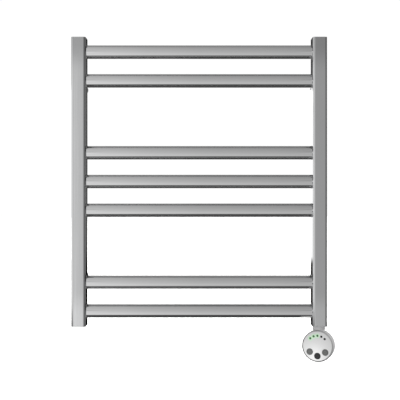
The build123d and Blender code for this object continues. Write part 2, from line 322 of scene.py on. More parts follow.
class HandMarks(Effect):
    """Cloudy smears and fine wipe marks left by hands and cloths."""

    title = "hand marks"
    inputs = (Port("Vector", "NodeSocketVector"), Port("Scale", value=20.0), Port("Strength", value=0.5))
    outputs = (Port("Mask"),)

    @classmethod
    def draw(cls, sheet: Sheet, start: bpy.types.Node, end: bpy.types.Node) -> None:
        """Mixes broad clouds with thin wipe lines.

        Args:
            sheet: Tree to add to.
            start: The group's input node.
            end: The group's output node.
        """
        vector, scale = start.outputs["Vector"], start.outputs["Scale"]
        clouds = sheet.add("ShaderNodeTexNoise")
        sheet.feed(clouds, Vector=vector, Scale=scale, Detail=4.0, Roughness=0.55, Distortion=0.6)
        soft = sheet.span(clouds.outputs["Fac"], 0.42, 0.72, 0.0, 1.0, smooth=True)
        lines = sheet.add("ShaderNodeTexNoise")
        slanted = sheet.stretch(vector, (1.0, 1.0, 9.0))
        sheet.feed(lines, Vector=slanted, Scale=sheet.math("MULTIPLY", scale, 6.0), Detail=3.0)
        wipes = sheet.span(lines.outputs["Fac"], 0.5, 0.8, 0.0, 1.0)
        both = sheet.math("ADD", soft, sheet.math("MULTIPLY", wipes, 0.4), clamp=True)
        mask = sheet.math("MULTIPLY", both, start.outputs["Strength"])
        sheet.put(end.inputs["Mask"], mask)


class SoftEdge(Effect):
    """Rounded edges: a softened normal, and a mask of where the edges are."""

    title = "soft edge"
    inputs = (Port("Radius", value=0.0004),)
    outputs = (Port("Wear"), Port("Normal", "NodeSocketVector"))

    @classmethod
    def draw(cls, sheet: Sheet, start: bpy.types.Node, end: bpy.types.Node) -> None:
        """Compares the bevelled normal with the surface's own.

        Args:
            sheet: Tree to add to.
            start: The group's input node.
            end: The group's output node.
        """
        bevel = sheet.add("ShaderNodeBevel", samples=4)
        sheet.feed(bevel, Radius=start.outputs["Radius"])
        surface = sheet.add("ShaderNodeNewGeometry")
        dot = sheet.add("ShaderNodeVectorMath", operation="DOT_PRODUCT")
        sheet.put(dot.inputs[0], bevel.outputs["Normal"])
        sheet.put(dot.inputs[1], surface.outputs["Normal"])
        sheet.put(end.inputs["Wear"], sheet.span(dot.outputs["Value"], 0.995, 0.9, 0.0, 1.0))
        sheet.put(end.inputs["Normal"], bevel.outputs["Normal"])


class MouldGrain(Effect):
    """Fine even grain of a moulded, painted or cast surface."""

    title = "mould grain"
    inputs = (Port("Vector", "NodeSocketVector"), Port("Scale", value=900.0))
    outputs = (Port("Height"), Port("Tint"))

    @classmethod
    def draw(cls, sheet: Sheet, start: bpy.types.Node, end: bpy.types.Node) -> None:
        """Lays fine noise over a slow drift of tone.

        Args:
            sheet: Tree to add to.
            start: The group's input node.
            end: The group's output node.
        """
        vector, scale = start.outputs["Vector"], start.outputs["Scale"]
        fine = sheet.add("ShaderNodeTexNoise")
        sheet.feed(fine, Vector=vector, Scale=scale, Detail=3.0, Roughness=0.6)
        drift = sheet.noise(vector, 14.0, detail=3.0)
        sheet.put(end.inputs["Height"], fine.outputs["Fac"])
        tint = sheet.math("MULTIPLY_ADD", fine.outputs["Fac"], 0.35, sheet.math("MULTIPLY", drift, 0.65))
        sheet.put(end.inputs["Tint"], sheet.span(tint, 0.3, 0.7, 0.0, 1.0))


class SettledDust(Effect):
    """Thin dust on what faces up, thicker in patches."""

    title = "settled dust"
    inputs = (Port("Vector", "NodeSocketVector"), Port("Amount", value=0.2))
    outputs = (Port("Mask"),)

    @classmethod
    def draw(cls, sheet: Sheet, start: bpy.types.Node, end: bpy.types.Node) -> None:
        """Takes the upward part of the normal times a speckle.

        Args:
            sheet: Tree to add to.
            start: The group's input node.
            end: The group's output node.
        """
        surface = sheet.add("ShaderNodeNewGeometry")
        parts = sheet.add("ShaderNodeSeparateXYZ")
        sheet.put(parts.inputs[0], surface.outputs["Normal"])
        upward = sheet.span(parts.outputs["Z"], 0.55, 1.0, 0.0, 1.0, smooth=True)
        speckle = sheet.noise(start.outputs["Vector"], 1600.0, detail=2.0)
        patch = sheet.noise(start.outputs["Vector"], 25.0, detail=4.0)
        grains = sheet.span(speckle, 0.45, 0.7, 0.2, 1.0)
        spread = sheet.math("MULTIPLY", grains, sheet.span(patch, 0.35, 0.65, 0.3, 1.0))
        mask = sheet.math("MULTIPLY", sheet.math("MULTIPLY", upward, spread), start.outputs["Amount"])
        sheet.put(end.inputs["Mask"], mask)


class PaintedUnderShade(Effect):
    """Painted shade on what faces down, a little more on the left."""

    title = "painted under shade"
    inputs = (Port("Vector", "NodeSocketVector"), Port("Amount", value=0.5))
    outputs = (Port("Mask"),)
    towards = (-0.4, 0.0, -0.92)

    @classmethod
    def draw(cls, sheet: Sheet, start: bpy.types.Node, end: bpy.types.Node) -> None:
        """Takes the downward part of the normal and breaks it up a little.

        Args:
            sheet: Tree to add to.
            start: The group's input node.
            end: The group's output node.
        """
        surface = sheet.add("ShaderNodeNewGeometry")
        dot = sheet.add("ShaderNodeVectorMath", operation="DOT_PRODUCT")
        sheet.put(dot.inputs[0], surface.outputs["Normal"])
        sheet.put(dot.inputs[1], cls.towards)
        low = sheet.span(dot.outputs["Value"], 0.05, 0.6, 0.0, 1.0, smooth=True)
        patch = sheet.span(sheet.noise(start.outputs["Vector"], 300.0, detail=3.0), 0.3, 0.7, 0.8, 1.0)
        mask = sheet.math("MULTIPLY", sheet.math("MULTIPLY", low, patch), start.outputs["Amount"])
        sheet.put(end.inputs["Mask"], mask)


# --- Finishes -------------------------------------------------------------------------------


@dataclass(frozen=True)
class Finish:
    """A surface finish with marks, grain, soft edges and dust. Colours are linear."""

    name: str
    colour: Colour
    second: Colour
    metallic: float = 0.0
    roughness: float = 0.4
    marked_roughness: float = 0.5
    marks_scale: float = 20.0
    marks_strength: float = 0.5
    grain_scale: float = 900.0
    grain_height: float = 0.00002
    edge_radius: float = 0.0003
    edge_colour: Colour = (0.8, 0.8, 0.8)
    edge_share: float = 0.2
    dust: float = 0.0
    dust_colour: Colour = (0.42, 0.40, 0.37)
    coat: float = 0.0
    coat_roughness: float = 0.06

    def material(self) -> bpy.types.Material:
        """Builds the material of this finish.

        Returns:
            The material.
        """
        material = bpy.data.materials.new(self.name)
        material.use_nodes = True
        sheet = Sheet(material.node_tree)
        place = sheet.add("ShaderNodeTexCoord").outputs["Object"]
        marks = sheet.group(HandMarks.tree(), Vector=place, Scale=self.marks_scale,
                            Strength=self.marks_strength)
        grain = sheet.group(MouldGrain.tree(), Vector=place, Scale=self.grain_scale)
        edge = sheet.group(SoftEdge.tree(), Radius=self.edge_radius)
        dust = sheet.group(SettledDust.tree(), Vector=place, Amount=self.dust)
        colour = sheet.mix(grain.outputs["Tint"], (*self.colour, 1.0), (*self.second, 1.0))
        colour = self.tinted(sheet, place, colour)
        worn = sheet.math("MULTIPLY", edge.outputs["Wear"], self.edge_share)
        colour = sheet.mix(worn, colour, (*self.edge_colour, 1.0))
        colour = sheet.mix(dust.outputs["Mask"], colour, (*self.dust_colour, 1.0))
        rough = sheet.span(marks.outputs["Mask"], 0.0, 1.0, self.roughness, self.marked_roughness)
        rough = sheet.math("ADD", rough, sheet.math("MULTIPLY", dust.outputs["Mask"], 0.5), clamp=True)
        bump = sheet.add("ShaderNodeBump")
        sheet.feed(bump, Strength=1.0, Distance=self.grain_height, Normal=edge.outputs["Normal"])
        sheet.put(bump.inputs["Height"], self.relief(sheet, place, grain.outputs["Height"]))
        shader = sheet.add("ShaderNodeBsdfPrincipled")
        sheet.feed(shader, Base_Color=colour, Roughness=rough, Normal=bump.outputs["Normal"])
        sheet.feed(shader, Metallic=self.metallic, Coat_Weight=self.coat,
                   Coat_Roughness=self.coat_roughness)
        self.finished(sheet, place, shader)
        output = sheet.add("ShaderNodeOutputMaterial")
        sheet.put(output.inputs["Surface"], shader.outputs[0])
        return material

    def tinted(self, sheet: Sheet, place: object, colour: object) -> object:
        """Gives the base colour this finish's own pattern; the plain finish has none."""
        return colour

    def relief(self, sheet: Sheet, place: object, height: object) -> object:
        """Gives the bump this finish's own relief; the plain finish keeps its grain."""
        return height

    def finished(self, sheet: Sheet, place: object, shader: bpy.types.Node) -> None:
        """Sets what only this finish has, such as light of its own."""


@dataclass(frozen=True)
class Chrome(Finish):
    """Mirror plating over drawn and buffed tube, with faint polishing lines."""

    line_scale: tuple[float, float, float] = (240.0, 240.0, 5.0)

    def relief(self, sheet: Sheet, place: object, height: object) -> object:
        """Adds long shallow polishing lines to the grain."""
        lines = sheet.noise(sheet.stretch(place, self.line_scale), 1.0, detail=3.0)
        return sheet.math("MULTIPLY_ADD", height, 0.15, lines)


@dataclass(frozen=True)
class TurnedMetal(Finish):
    """Lathe-turned metal with fine rings about an upright axis."""

    pitch: float = 0.0006

    def relief(self, sheet: Sheet, place: object, height: object) -> object:
        """Adds the tool's feed marks along Z.

        Args:
            sheet: Tree to add to.
            place: Object coordinates.
            height: The grain's height.

        Returns:
            The new height.
        """
        parts = sheet.add("ShaderNodeSeparateXYZ")
        sheet.put(parts.inputs[0], place)
        wave = sheet.math("SINE", sheet.math("MULTIPLY", parts.outputs["Z"], 2 * math.pi / self.pitch))
        return sheet.math("MULTIPLY_ADD", wave, 0.5, height)


@dataclass(frozen=True)
class ZincPlate(Finish):
    """Zinc plating with its fine crystals."""

    crystal_scale: float = 1200.0
    crystal_share: float = 0.12

    def tinted(self, sheet: Sheet, place: object, colour: object) -> object:
        """Mixes in a tone for each crystal.

        Args:
            sheet: Tree to add to.
            place: Object coordinates.
            colour: The colour so far.

        Returns:
            The new colour.
        """
        cells = sheet.add("ShaderNodeTexVoronoi")
        sheet.feed(cells, Vector=place, Scale=self.crystal_scale)
        return sheet.mix(self.crystal_share, colour, cells.outputs["Color"], blend="SOFT_LIGHT")


@dataclass(frozen=True)
class SatinSilver(Finish):
    """Silver paint with metal flakes, with painted shade below and painted light where the lit lamps shine on
    it.
    """

    lamps: tuple[Place, ...] = ()
    # painted shade: how dark what faces down is painted
    painted_under_shade: float = 0.35
    painted_under_shade_colour: Colour = (0.07, 0.07, 0.07)
    # reach, share and colour of the painted light of the lit lamps on the face
    glow_start: float = 1.5 * MM
    glow_reach: float = 6.8 * MM
    glow_share: float = 0.85
    glow_colour: Colour = (0.50, 0.84, 0.50)
    flake_scale: float = 2600.0
    flake_share: float = 0.07
    flake_colour: float = 0.15

    def tinted(self, sheet: Sheet, place: object, colour: object) -> object:
        """Adds flakes, painted pale green light about each lit lamp, and painted shade below.

        Args:
            sheet: Tree to add to.
            place: Object coordinates.
            colour: The colour so far.

        Returns:
            The new colour.
        """
        cells = sheet.add("ShaderNodeTexVoronoi")
        sheet.feed(cells, Vector=place, Scale=self.flake_scale)
        colour = sheet.mix(self.flake_share, colour, cells.outputs["Color"], blend="OVERLAY")
        grey = sheet.add("ShaderNodeHueSaturation")
        sheet.feed(grey, Color=colour, Saturation=self.flake_colour)
        colour = grey.outputs["Color"]
        # painted light: a pale green pool about each lit lamp, where its light falls on the face
        for lamp in self.lamps:
            away = sheet.add("ShaderNodeVectorMath", operation="DISTANCE")
            sheet.put(away.inputs[0], place)
            sheet.put(away.inputs[1], lamp)
            glow = sheet.span(away.outputs["Value"], self.glow_start, self.glow_reach, self.glow_share, 0.0,
                              smooth=True)
            colour = sheet.mix(glow, colour, (*self.glow_colour, 1.0))
        # painted shade on what faces down, darker towards the lower left
        painted_under_shade = sheet.group(PaintedUnderShade.tree(), Vector=place, Amount=self.painted_under_shade)
        return sheet.mix(painted_under_shade.outputs["Mask"], colour, (*self.painted_under_shade_colour, 1.0))


@dataclass(frozen=True)
class PaintedShadeTrim(Chrome):
    """Satin chrome trim of the rim, with painted shade darkest at the lower left, and least on its right
    flank.
    """

    centre: Place = (0.0, 0.0, 0.0)
    radius: float = 33 * MM
    # colour of the painted shade
    painted_shade_colour: Colour = (0.07, 0.07, 0.07)
    towards: Place = (-0.5, 0.0, -0.87)
    least: float = 0.35
    most: float = 0.97

    def tinted(self, sheet: Sheet, place: object, colour: object) -> object:
        """Paints shade on the plating towards the lower left.

        Args:
            sheet: Tree to add to.
            place: Object coordinates.
            colour: The colour so far.

        Returns:
            The new colour.
        """
        # painted shade: darker towards the lower left of the rim, and lighter on its right flank, where the
        # surface faces right
        lean = sheet.add("ShaderNodeVectorMath", operation="DOT_PRODUCT")
        away = sheet.add("ShaderNodeVectorMath", operation="SUBTRACT")
        sheet.put(away.inputs[0], place)
        sheet.put(away.inputs[1], self.centre)
        sheet.put(lean.inputs[0], away.outputs[0])
        sheet.put(lean.inputs[1], self.towards)
        low = sheet.span(lean.outputs["Value"], -0.9 * self.radius, 0.6 * self.radius, self.least, self.most)
        surface = sheet.add("ShaderNodeNewGeometry")
        parts = sheet.add("ShaderNodeSeparateXYZ")
        sheet.put(parts.inputs[0], surface.outputs["Normal"])
        flank = sheet.span(parts.outputs["X"], 0.2, 0.7, 1.0, 0.1, smooth=True)
        return sheet.mix(sheet.math("MULTIPLY", low, flank), colour, (*self.painted_shade_colour, 1.0))


@dataclass(frozen=True)
class LampLens(Finish):
    """Clear moulded lamp, with light of its own when lit."""

    glow: Colour = (0.0, 0.0, 0.0)
    glow_strength: float = 0.0

    def finished(self, sheet: Sheet, place: object, shader: bpy.types.Node) -> None:
        """Lights the lens from inside, a little unevenly.

        Args:
            sheet: Tree to add to.
            place: Object coordinates.
            shader: The Principled shader.
        """
        cloud = sheet.noise(place, 700.0, detail=2.0)
        shade = sheet.mix(sheet.span(cloud, 0.3, 0.7, 0.0, 1.0), (*self.glow, 1.0),
                          (*(channel * 0.6 for channel in self.glow), 1.0))
        sheet.feed(shader, Emission_Color=shade, Emission_Strength=self.glow_strength)


@dataclass(frozen=True)
class BoardLacquer(Finish):
    """Circuit board lacquer over copper tracks."""

    track_scale: float = 240.0
    track_colour: Colour = (0.10, 0.42, 0.17)

    def tinted(self, sheet: Sheet, place: object, colour: object) -> object:
        """Lets the tracks show lighter through the lacquer.

        Args:
            sheet: Tree to add to.
            place: Object coordinates.
            colour: The colour so far.

        Returns:
            The new colour.
        """
        tracks = sheet.add("ShaderNodeTexVoronoi", feature="DISTANCE_TO_EDGE", distance="CHEBYCHEV")
        sheet.feed(tracks, Vector=place, Scale=self.track_scale)
        line = sheet.span(tracks.outputs["Distance"], 0.06, 0.09, 1.0, 0.0)
        return sheet.mix(line, colour, (*self.track_colour, 1.0))


def finishes() -> dict[Slot, Finish]:
    """Every finish of the towel rail by its slot.

    Returns:
        The finish of each slot.
    """
    chrome = (0.705, 0.71, 0.715)
    chrome_shade = (0.685, 0.69, 0.695)
    silver = (0.635, 0.635, 0.63)
    silver_shade = (0.60, 0.60, 0.60)
    return {
        Slot.CHROME_TUBE: Chrome(
            "chrome_tube", chrome, chrome_shade, metallic=1.0, roughness=0.035, marked_roughness=0.10,
            marks_scale=16.0, marks_strength=0.35, grain_scale=1500.0, grain_height=0.00001,
            edge_radius=0.0004, edge_colour=(0.9, 0.9, 0.9), edge_share=0.15),
        Slot.CHROME_TRIM: Chrome(
            "chrome_trim", (0.60, 0.595, 0.60), (0.56, 0.555, 0.56), metallic=0.12, roughness=0.4,
            marked_roughness=0.48, marks_scale=40.0, marks_strength=0.5, grain_scale=1500.0,
            grain_height=0.000004, edge_radius=0.0004, edge_colour=(0.8, 0.8, 0.8), edge_share=0.15),
        Slot.PLAIN_STEEL: ZincPlate(
            "plain_steel", (0.50, 0.50, 0.51), (0.40, 0.40, 0.42), metallic=1.0, roughness=0.32,
            marked_roughness=0.5, marks_scale=60.0, marks_strength=0.7, grain_scale=1200.0,
            grain_height=0.00001, edge_radius=0.0002, edge_colour=(0.7, 0.7, 0.7), edge_share=0.4),
        Slot.PLATED_PLUG: TurnedMetal(
            "plated_plug", (0.66, 0.65, 0.62), (0.60, 0.59, 0.56), metallic=1.0, roughness=0.18,
            marked_roughness=0.3, marks_scale=50.0, marks_strength=0.5, grain_scale=1200.0,
            grain_height=0.000006, edge_radius=0.0002, edge_colour=(0.8, 0.75, 0.6), edge_share=0.3),
        Slot.BRASS: TurnedMetal(
            "brass_bush", (0.72, 0.50, 0.20), (0.62, 0.42, 0.16), metallic=1.0, roughness=0.22,
            marked_roughness=0.38, marks_scale=50.0, marks_strength=0.6, grain_scale=1200.0,
            grain_height=0.00001, edge_radius=0.0002, edge_colour=(0.9, 0.75, 0.4), edge_share=0.4),
        Slot.RUBBER: Finish(
            "black_rubber", (0.022, 0.022, 0.022), (0.032, 0.032, 0.031), roughness=0.6,
            marked_roughness=0.75, marks_scale=40.0, marks_strength=0.5, grain_scale=1400.0,
            grain_height=0.00003, edge_radius=0.0002, edge_colour=(0.06, 0.06, 0.06), edge_share=0.2,
            dust=0.25),
        Slot.CERAMIC: Finish(
            "white_ceramic", (0.80, 0.78, 0.72), (0.70, 0.67, 0.60), roughness=0.65, marked_roughness=0.8,
            marks_scale=40.0, marks_strength=0.5, grain_scale=1100.0, grain_height=0.00005,
            edge_radius=0.0002, edge_colour=(0.85, 0.84, 0.8), edge_share=0.3),
        Slot.SILVER: SatinSilver(
            "silver_plastic", silver, silver_shade, roughness=0.42, marked_roughness=0.5,
            marks_scale=30.0, marks_strength=0.5, grain_scale=1500.0, grain_height=0.00001,
            edge_radius=0.0003, edge_colour=(0.74, 0.74, 0.74), edge_share=0.25, dust=0.1, coat=0.1),
        Slot.BUTTON_GREY: Finish(
            "button_grey", (0.088, 0.09, 0.088), (0.105, 0.108, 0.105), roughness=0.34,
            marked_roughness=0.5, marks_scale=60.0, marks_strength=0.7, grain_scale=1600.0,
            grain_height=0.00002, edge_radius=0.0003, edge_colour=(0.2, 0.2, 0.2), edge_share=0.4,
            dust=0.1),
        Slot.BUTTON_BLACK: Finish(
            "button_black", (0.012, 0.012, 0.013), (0.018, 0.018, 0.019), roughness=0.28,
            marked_roughness=0.4, marks_scale=60.0, marks_strength=0.7, grain_scale=1600.0,
            grain_height=0.00001, edge_radius=0.0003, edge_colour=(0.07, 0.07, 0.07), edge_share=0.4,
            dust=0.1),
        Slot.LAMP_GREEN: LampLens(
            "lamp_green", (0.06, 0.12, 0.06), (0.075, 0.14, 0.075), roughness=0.18, marked_roughness=0.3,
            marks_scale=80.0, marks_strength=0.5, grain_scale=1600.0, grain_height=0.000004,
            edge_radius=0.0002, edge_colour=(0.2, 0.6, 0.25), edge_share=0.3, glow=(0.05, 0.30, 0.06),
            glow_strength=0.06),
        Slot.LAMP_DARK: LampLens(
            "lamp_dark", (0.001, 0.001, 0.001), (0.002, 0.002, 0.002), roughness=0.12,
            marked_roughness=0.2, marks_scale=80.0, marks_strength=0.5, grain_scale=1600.0,
            grain_height=0.000004, edge_radius=0.0002, edge_colour=(0.05, 0.05, 0.05), edge_share=0.3),
        Slot.BOARD: BoardLacquer(
            "board_green", (0.012, 0.12, 0.045), (0.018, 0.16, 0.06), roughness=0.25,
            marked_roughness=0.4, marks_scale=60.0, marks_strength=0.5, grain_scale=1200.0,
            grain_height=0.00002, edge_radius=0.0002, edge_colour=(0.5, 0.45, 0.2), edge_share=0.3),
        Slot.PART_BLACK: Finish(
            "part_black", (0.02, 0.02, 0.021), (0.028, 0.028, 0.028), roughness=0.3,
            marked_roughness=0.45, marks_scale=60.0, marks_strength=0.5, grain_scale=1400.0,
            grain_height=0.00002, edge_radius=0.0002, edge_colour=(0.08, 0.08, 0.08), edge_share=0.3,
            dust=0.1),
        Slot.PART_GREY: Finish(
            "part_grey", (0.20, 0.21, 0.22), (0.24, 0.25, 0.26), roughness=0.45, marked_roughness=0.6,
            marks_scale=60.0, marks_strength=0.5, grain_scale=1400.0, grain_height=0.00002,
            edge_radius=0.0002, edge_colour=(0.3, 0.3, 0.3), edge_share=0.3, dust=0.1),
        Slot.GLAND: Finish(
            "gland_black", (0.02, 0.02, 0.02), (0.028, 0.028, 0.028), roughness=0.45,
            marked_roughness=0.6, marks_scale=60.0, marks_strength=0.5, grain_scale=1300.0,
            grain_height=0.00004, edge_radius=0.0003, edge_colour=(0.07, 0.07, 0.07), edge_share=0.4,
            dust=0.2),
    }


class Palette:
    """Holds each finish's material, built on first use."""

    def __init__(self, table: dict[Slot, Finish]) -> None:
        """Keeps the finishes until they are asked for.

        Args:
            table: The finish of each slot.
        """
        self.table = table
        self.made: dict[str, bpy.types.Material] = {}

    def get(self, finish: Finish) -> bpy.types.Material:
        """Returns the material of a finish.

        Args:
            finish: The finish.

        Returns:
            The material.
        """
        if finish.name not in self.made:
            self.made[finish.name] = finish.material()
        return self.made[finish.name]

    def dress(self, thing: bpy.types.Object, finish: Finish) -> None:
        """Gives an object one material in place of what it has."""
        thing.data.materials.clear()
        thing.data.materials.append(self.get(finish))


# --- Mesh tools -----------------------------------------------------------------------------


def mesh_object(name: str, build: Callable[[bmesh.types.BMesh], None]) -> bpy.types.Object:
    """Makes a smooth-shaded mesh object.

    Args:
        name: Name of the new object.
        build: Function that fills the mesh.

    Returns:
        The object, linked to the scene.
    """
    form = bmesh.new()
    build(form)
    bmesh.ops.recalc_face_normals(form, faces=form.faces)
    mesh = bpy.data.meshes.new(name)
    form.to_mesh(mesh)
    form.free()
    mesh.shade_smooth()
    thing = bpy.data.objects.new(name, mesh)
    bpy.context.scene.collection.objects.link(thing)
    return thing


def loft(form: bmesh.types.BMesh, loops: Sequence[Sequence[Vector]], closed: bool) -> None:
    """Skins a row of equal loops of points.

    Args:
        form: Mesh to add to.
        loops: Loops of points, each a ring.
        closed: Whether the last loop joins the first; if not, both ends get a face.
    """
    rings = [[form.verts.new(point) for point in loop] for loop in loops]
    pairs = list(zip(rings, rings[1:]))
    if closed:
        pairs.append((rings[-1], rings[0]))
    else:
        form.faces.new(rings[0])
        form.faces.new(rings[-1])
    for low, high in pairs:
        for index in range(len(low)):
            after = (index + 1) % len(low)
            form.faces.new((low[index], low[after], high[after], high[index]))


def sweep_ring(matrix: Matrix, section: Sequence[tuple[float, float]], steps: int) -> list[list[Vector]]:
    """Loops of a section carried once round the local Z axis.

    Args:
        matrix: Place and direction of the axis.
        section: (radius, height) pairs of a closed outline.
        steps: Number of loops in the full turn.

    Returns:
        One loop for each step.
    """
    loops = []
    for step in range(steps):
        angle = 2 * math.pi * step / steps
        loops.append([matrix @ Vector((r * math.cos(angle), r * math.sin(angle), h)) for r, h in section])
    return loops


def turn(matrix: Matrix, profile: Iterable[tuple[float, float]], steps: int) -> list[list[Vector]]:
    """Rings of points made by turning a profile about the local Z axis.

    Args:
        matrix: Place and direction of the axis.
        profile: (radius, height) pairs.
        steps: Points in each ring.

    Returns:
        One ring for each pair.
    """
    rings = []
    for radius, height in profile:
        angles = (2 * math.pi * step / steps for step in range(steps))
        rings.append([matrix @ Vector((radius * math.cos(a), radius * math.sin(a), height)) for a in angles])
    return rings


def place_axis(origin: Vector, direction: Vector) -> Matrix:
    """Matrix whose local Z points along a direction from an origin."""
    return Matrix.Translation(origin) @ direction.to_track_quat("Z", "Y").to_matrix().to_4x4()


# --- Sub-assemblies -------------------------------------------------------------------------


@dataclass
class Kit:
    """The loaded frame with its finishes, shared by the sub-assemblies."""

    frame: dict
    palette: Palette
    slots: dict[str, Slot] = field(default_factory=dict)

    def __post_init__(self) -> None:
        """Reads each node's slot from the record."""
        for row in self.frame["record"]["subparts"]:
            self.slots[row["node"]] = Slot(row["material_slot"])

    def named(self, heads: Sequence[str]) -> list[str]:
        """Names of the nodes that start with one of the given words, sorted."""
        return sorted(name for name in self.frame["nodes"] if name.startswith(tuple(heads)))

    def reach(self, name: str, direction: Vector) -> tuple[float, float]:
        """Lowest and highest place of a node along a direction.

        Args:
            name: The node.
            direction: Unit vector.

        Returns:
            Both distances from the origin.
        """
        places = [direction.dot(vertex.co) for vertex in self.frame["nodes"][name].data.vertices]
        return min(places), max(places)

    def joint_axis(self, name: str) -> Vector:
        """Axis of a joint as a unit vector."""
        joint = next(row for row in self.frame["joints"] if row["name"] == name)
        return Vector(joint["axis"]).normalized()

    def add(self, piece: bpy.types.Object, slot: Slot, body: Body,
            finish: Finish | None = None) -> bpy.types.Object:
        """Dresses a new piece and lets it ride on a body.

        Args:
            piece: The new piece, in place.
            slot: Slot that it takes its finish from.
            body: Body that it moves with.
            finish: Finish to use in place of the slot's own.

        Returns:
            The piece.
        """
        self.palette.dress(piece, finish or self.palette.table[slot])
        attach(piece, body.value)
        LOG.info("piece %s on %s", piece.name, body.value)
        return piece


@dataclass
class SubAssembly:
    """Some nodes of the frame, with the fine pieces added to them."""

    kit: Kit

    def heads(self) -> tuple[str, ...]:
        """First words of the names of its nodes."""
        raise NotImplementedError

    def finish_of(self, name: str) -> Finish:
        """Finish of one of its nodes: that of the node's slot."""
        return self.kit.palette.table[self.kit.slots[name]]

    def dress(self) -> list[str]:
        """Gives its nodes their finishes.

        Returns:
            Names of the dressed nodes.
        """
        names = self.kit.named(self.heads())
        for name in names:
            self.kit.palette.dress(self.kit.frame["nodes"][name], self.finish_of(name))
        LOG.info("%s: %d nodes dressed", type(self).__name__, len(names))
        return names

    def build(self) -> None:
        """Adds its fine pieces; the plain sub-assembly has none."""


@dataclass
class LadderRack(SubAssembly):
    """Uprights and rungs, with a weld fillet at each end of every rung."""

    fillet: float = 0.9 * MM
    bury: float = 0.15 * MM
    arc_steps: int = 6
    ring_steps: int = 96
    rung_lines: tuple[float, float, float] = (5.0, 240.0, 240.0)
    # painted light: the rungs get a brighter copy of the uprights' chrome
    rung_brightened_chrome: Colour = (0.82, 0.822, 0.826)
    rung_brightened_second: Colour = (0.80, 0.803, 0.808)

    def heads(self) -> tuple[str, ...]:
        """First words of the names of its nodes."""
        return ("upright_", "rung_")

    def finish_of(self, name: str) -> Finish:
        """Chrome whose polishing lines follow the tube; on the rungs it is a brighter copy, painted light.

        Args:
            name: Name of the node.

        Returns:
            The finish.
        """
        chrome = super().finish_of(name)
        if name.startswith("rung_"):
            return replace(chrome, name="brightened_chrome_rung", line_scale=self.rung_lines,
                           colour=self.rung_brightened_chrome, second=self.rung_brightened_second)
        return chrome

    def profile(self, radius: float) -> list[tuple[float, float]]:
        """Cross-section of the fillet between the rung and the upright.

        Args:
            radius: Outer radius of the rung.

        Returns:
            (radius, height) pairs of a closed outline, with the height counted from the upright.
        """
        points = [(radius - self.bury, -self.bury), (radius + self.fillet, -self.bury)]
        for step in range(self.arc_steps + 1):
            angle = math.pi / 2 * step / self.arc_steps
            out = radius + self.fillet * (1 - math.sin(angle))
            points.append((out, self.fillet * (1 - math.cos(angle))))
        points.append((radius - self.bury, self.fillet))
        return points

    def build(self) -> None:
        """Makes a fillet at both ends of every rung."""
        inner_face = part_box("upright_right")[0].x
        for name in self.kit.named(("rung_",)):
            low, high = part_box(name)
            centre = (low + high) / 2
            outline = self.profile((high.z - low.z) / 2)
            for side, word in ((-1, "left"), (1, "right")):
                matrix = place_axis(Vector((side * inner_face, centre.y, centre.z)), Vector((-side, 0, 0)))
                loops = sweep_ring(matrix, outline, self.ring_steps)
                weld = mesh_object(f"weld_{name}_{word}", lambda form: loft(form, loops, closed=True))
                self.kit.add(weld, Slot.CHROME_TUBE, Body.RACK)


@dataclass
class EndFittings(SubAssembly):
    """End caps, the blank plug and its sealing ring."""

    def heads(self) -> tuple[str, ...]:
        """First words of the names of its nodes."""
        return ("top_cap", "bottom_cap", "blank_plug", "plug_ring")


@dataclass
class WallBrackets(SubAssembly):
    """Posts on the wall, with the stems that slide in them."""

    def heads(self) -> tuple[str, ...]:
        """First words of the names of its nodes."""
        return ("wall_post", "grub_screw", "bracket_stem", "stem_nut")


@dataclass
class ElementFitting(SubAssembly):
    """Heating element, its bush and the collar over it."""

    def heads(self) -> tuple[str, ...]:
        """First words of the names of its nodes."""
        return ("element_", "bush_gasket", "neck_collar", "swivel_ring")


